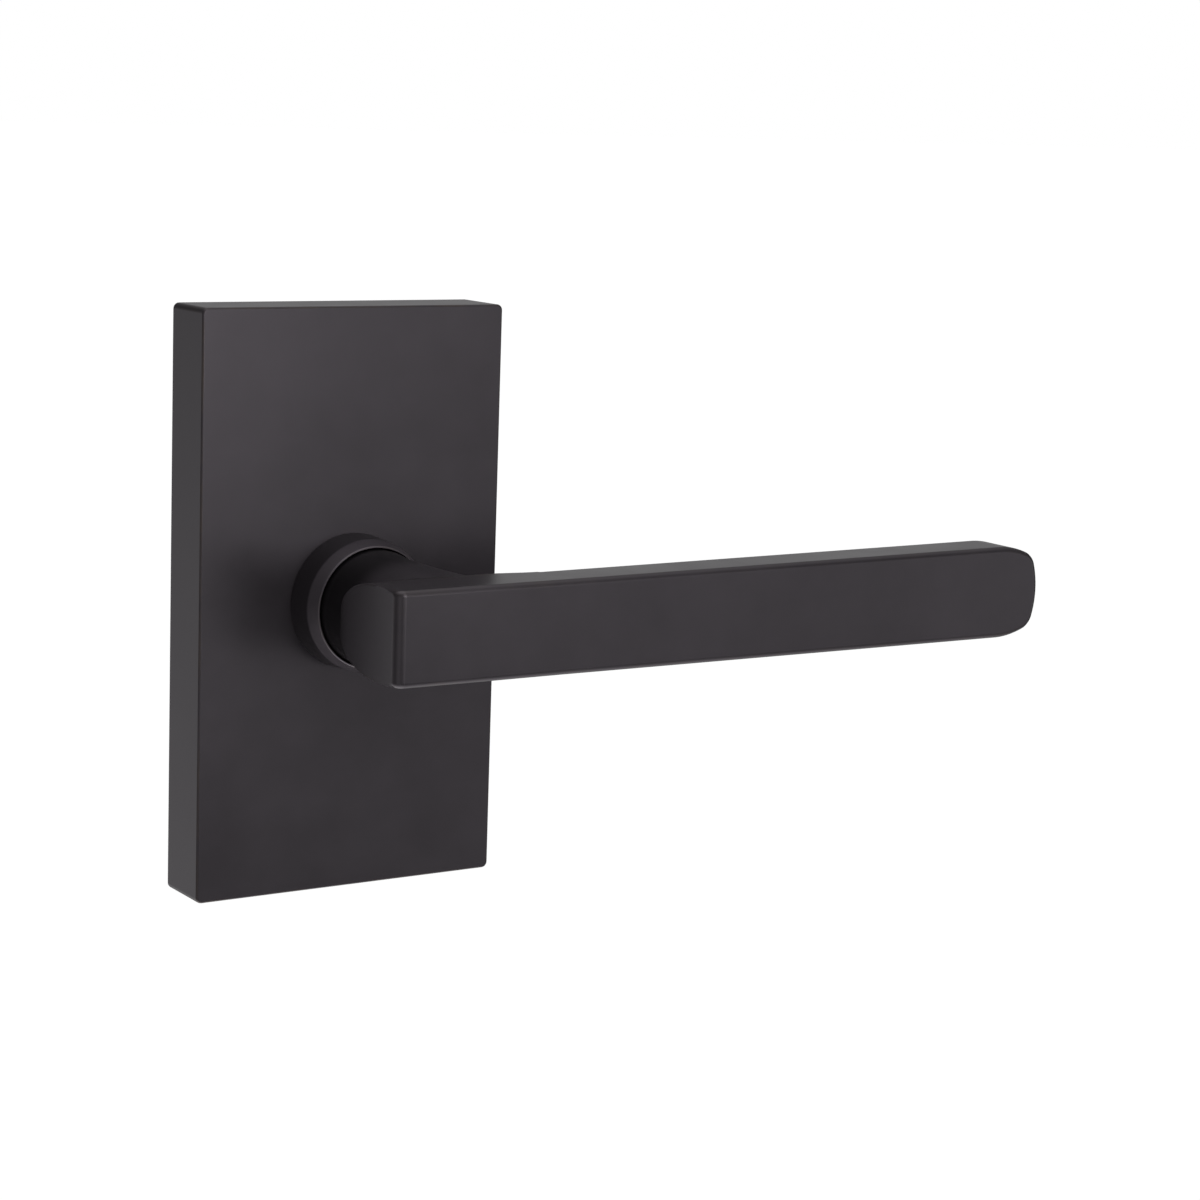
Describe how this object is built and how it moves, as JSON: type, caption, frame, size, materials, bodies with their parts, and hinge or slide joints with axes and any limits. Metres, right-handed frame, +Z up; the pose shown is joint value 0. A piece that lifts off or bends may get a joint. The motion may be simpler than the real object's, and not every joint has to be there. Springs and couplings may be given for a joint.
{
  "type": "door lever handle",
  "caption": "Sprung straight lever on a tall rectangular rosette, with spindle and through-bolts, that works a door latch from one side.",
  "frame": {"origin": "where the lever's turning axis meets the face of the door", "axes": "+X along the lever towards its tip, -Y out of the door into the room, +Z up"},
  "size_m": [0.1905, 0.1055, 0.127],
  "materials": {
    "black_casting": "satin charcoal black lacquer on zinc",
    "black_plate": "satin charcoal black lacquer on pressed brass",
    "black_ring": "satin charcoal black lacquer on turned brass",
    "zinc_steel": "zinc plated",
    "bright_steel": "drawn",
    "spring_steel": "oiled",
    "black_oxide": "black oxide",
    "die_cast": "as cast",
    "nylon": "natural"
  },
  "bodies": {
    "rosette": {"rosette_cover": "black_plate", "rosette_collar": "black_ring", "collar_nut": "zinc_steel", "collar_bush": "nylon", "mounting_plate": "zinc_steel", "spring_housing": "die_cast", "housing_lid": "zinc_steel", "housing_rivets": "bright_steel", "through_bolts": "zinc_steel", "cover_screw": "black_oxide", "return_spring": "spring_steel"},
    "lever": {"lever_handle": "black_casting", "lever_tube": "bright_steel", "lever_screw": "black_oxide", "spindle": "bright_steel", "drive_cam": "bright_steel", "retaining_ring": "spring_steel", "shim_washer": "spring_steel", "thrust_washer": "nylon"}
  },
  "joints": [
    {"name": "lever_turn", "type": "hinge", "parent": "rosette", "child": "lever", "pos_m": [0, 0, 0], "axis": [0, 1, 0], "range_deg": [-45, 45], "stiffness_Nm_per_rad": 2, "springref_deg": -5.73, "deforming": ["return_spring"]}
  ]
}
